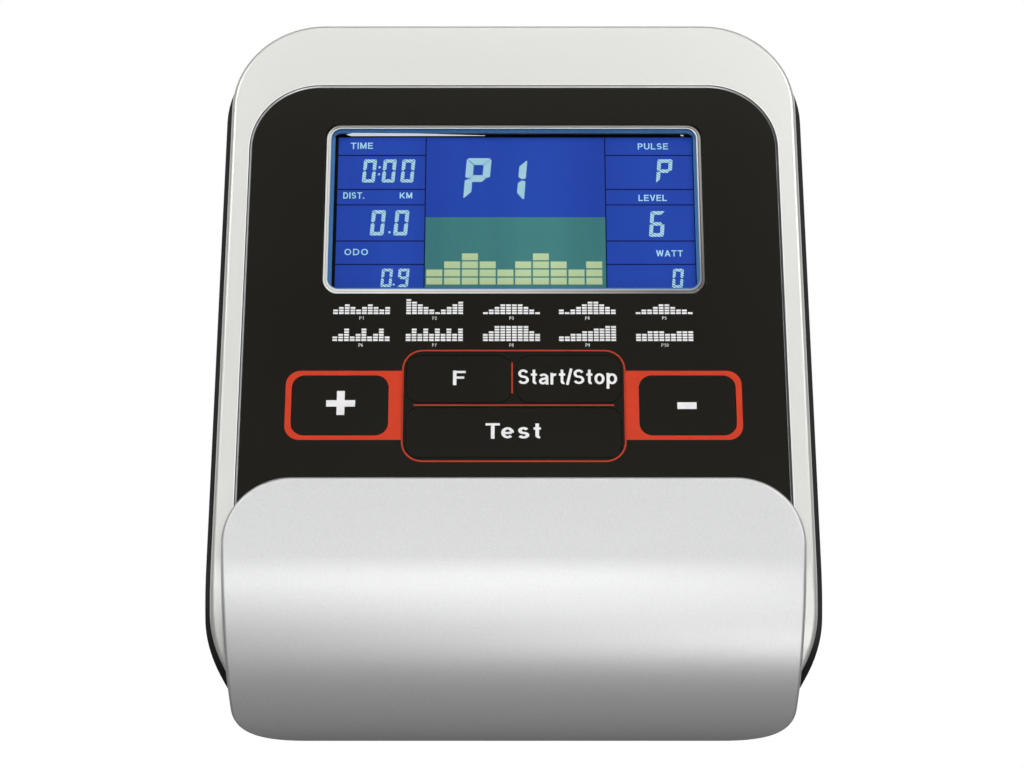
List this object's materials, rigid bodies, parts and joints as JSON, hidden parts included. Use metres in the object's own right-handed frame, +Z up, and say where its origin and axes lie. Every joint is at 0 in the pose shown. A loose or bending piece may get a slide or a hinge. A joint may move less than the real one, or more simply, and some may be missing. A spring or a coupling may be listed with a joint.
{
  "type": "fitness trainer display console",
  "caption": "Training computer head with a backlit display, push keys, a silver two-shell housing, a rolled lower cover and a rear bracket mount.",
  "frame": {"origin": "centre of the bracket bolt pattern, on the mounting pad at the back", "axes": "+X to the user's right, +Y away from the user through the mount, +Z up along the face"},
  "size_m": [0.242, 0.074, 0.2953],
  "materials": {
    "silver_paint": "silver metallic lacquer on moulded ABS",
    "satin_silver": "satin aluminium-flake lacquer on moulded ABS",
    "black_abs": "fine spark texture",
    "printed_film": "back-printed polycarbonate, velvet front",
    "clear_lens": "polished clear acrylic with a bevelled edge",
    "lens_tape": "acrylic foam tape tinted by the backlight",
    "black_foam": "closed-cell foam",
    "lcd_glass": "blue negative liquid crystal cell",
    "clear_acrylic": "moulded light guide",
    "white_sheet": "white diffuse sheet",
    "led_resin": "white package with yellow phosphor",
    "contact_rubber": "layered silicone",
    "circuit_board": "green solder mask on glass epoxy",
    "chip_resin": "moulded epoxy",
    "can_aluminium": "plain cans",
    "header_nylon": "natural nylon",
    "switch_plastic": "moulded nylon",
    "zinc_steel": "bright zinc plate",
    "insert_brass": "knurled and turned",
    "grommet_rubber": "moulded rubber"
  },
  "bodies": {
    "console": {"front_housing": "silver_paint", "roll_cover": "satin_silver", "rear_housing": "black_abs", "fascia_film": "printed_film", "display_lens": "clear_lens", "lens_tape": "lens_tape", "dust_gasket": "black_foam", "lcd_front_glass": "lcd_glass", "lcd_rear_glass": "lcd_glass", "lcd_frame": "black_abs", "light_guide": "clear_acrylic", "reflector_sheet": "white_sheet", "backlight_leds": "led_resin", "zebra_strips": "contact_rubber", "main_board": "circuit_board", "controller_chip": "chip_resin", "board_components": "can_aluminium", "buzzer": "chip_resin", "harness_header": "header_nylon", "pulse_header": "header_nylon", "tact_switches": "switch_plastic", "board_screws": "zinc_steel", "lcd_frame_screws": "zinc_steel", "housing_screws": "zinc_steel", "roll_cover_screws": "zinc_steel", "mounting_inserts": "insert_brass", "cable_grommet": "grommet_rubber"},
    "plus_key": {"key_plus": "printed_film", "switch_plunger_plus": "switch_plastic"},
    "minus_key": {"key_minus": "printed_film", "switch_plunger_minus": "switch_plastic"},
    "function_key": {"key_function": "printed_film", "switch_plunger_function": "switch_plastic"},
    "start_stop_key": {"key_start_stop": "printed_film", "switch_plunger_start_stop": "switch_plastic"},
    "test_key": {"key_test": "printed_film", "switch_plunger_test": "switch_plastic"}
  },
  "joints": [
    {"name": "plus_press", "type": "slide", "parent": "console", "child": "plus_key", "axis": [0, 1, 0], "range_m": [0, 0.0005], "stiffness_N_per_m": 1500, "springref_m": -0.001},
    {"name": "minus_press", "type": "slide", "parent": "console", "child": "minus_key", "axis": [0, 1, 0], "range_m": [0, 0.0005], "stiffness_N_per_m": 1500, "springref_m": -0.001},
    {"name": "function_press", "type": "slide", "parent": "console", "child": "function_key", "axis": [0, 1, 0], "range_m": [0, 0.0005], "stiffness_N_per_m": 1500, "springref_m": -0.001},
    {"name": "start_stop_press", "type": "slide", "parent": "console", "child": "start_stop_key", "axis": [0, 1, 0], "range_m": [0, 0.0005], "stiffness_N_per_m": 1500, "springref_m": -0.001},
    {"name": "test_press", "type": "slide", "parent": "console", "child": "test_key", "axis": [0, 1, 0], "range_m": [0, 0.0005], "stiffness_N_per_m": 1500, "springref_m": -0.001}
  ]
}
